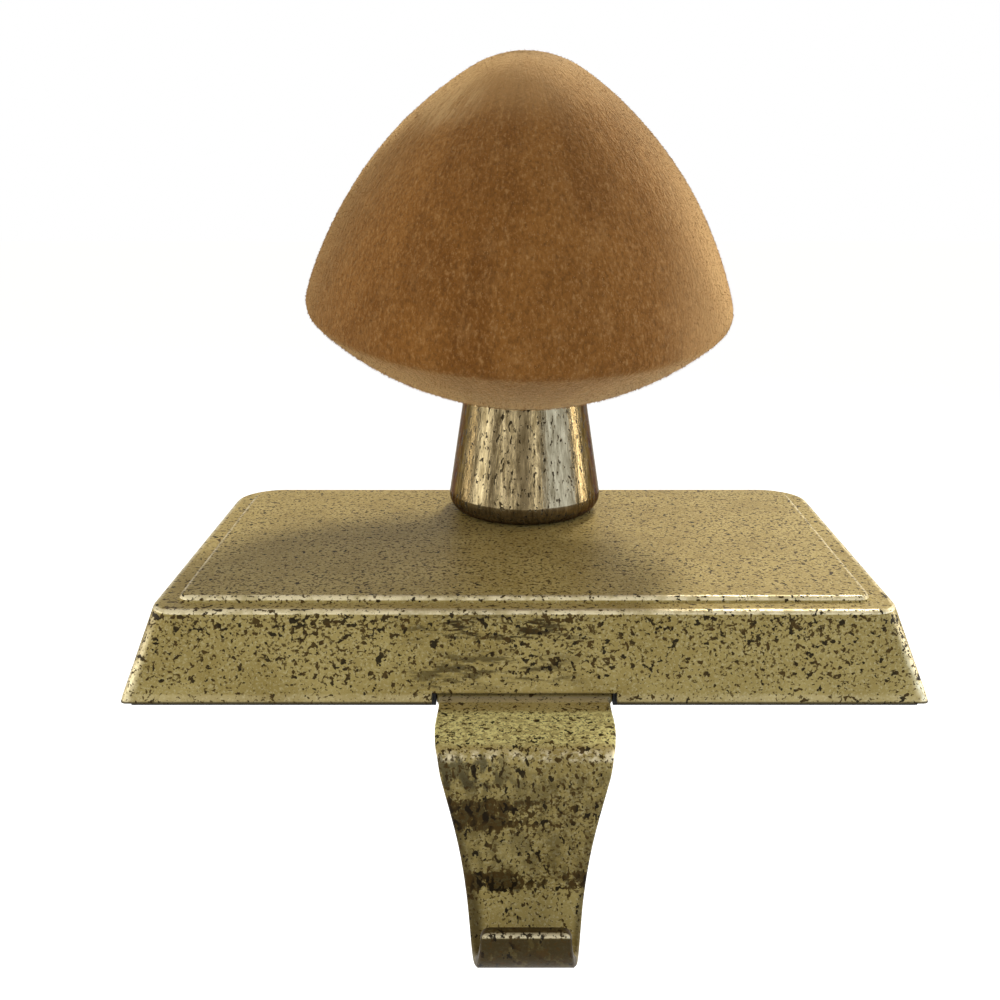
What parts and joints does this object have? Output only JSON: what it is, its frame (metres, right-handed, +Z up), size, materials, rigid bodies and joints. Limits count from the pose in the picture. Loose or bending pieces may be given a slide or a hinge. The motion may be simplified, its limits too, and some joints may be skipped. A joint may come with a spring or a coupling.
{
  "type": "mantel stocking holder",
  "caption": "Weighted stamped base with a velvet mushroom on a metal stalk and a flat hook strap that drops over the mantel's front edge to a J bend with a short lip.",
  "frame": {"origin": "centre of the pad's underside, where the base rests on the mantel", "axes": "+X to the right as the hook faces the room, -Y to the front, +Z up"},
  "size_m": [0.1298, 0.1271, 0.1314],
  "materials": {
    "speckled_gold_tray": "antique gold with dark speckle, satin",
    "speckled_gold_strap": "antique gold with dark speckle, satin",
    "stalk_gold": "gold lacquer over vertical brushing, glossy",
    "cap_velvet": "caramel velvet",
    "pad_foam": "matt",
    "cast_slab": "rough",
    "screw_steel": "zinc plated",
    "washer_steel": "zinc plated"
  },
  "bodies": {
    "root": {"base_tray": "speckled_gold_tray", "base_pad": "pad_foam", "ballast_plate": "cast_slab", "hook": "speckled_gold_strap", "hook_screws": "screw_steel", "stalk": "stalk_gold", "stalk_washer": "washer_steel", "stalk_screw": "screw_steel", "mushroom_cap": "cap_velvet"}
  },
  "joints": []
}
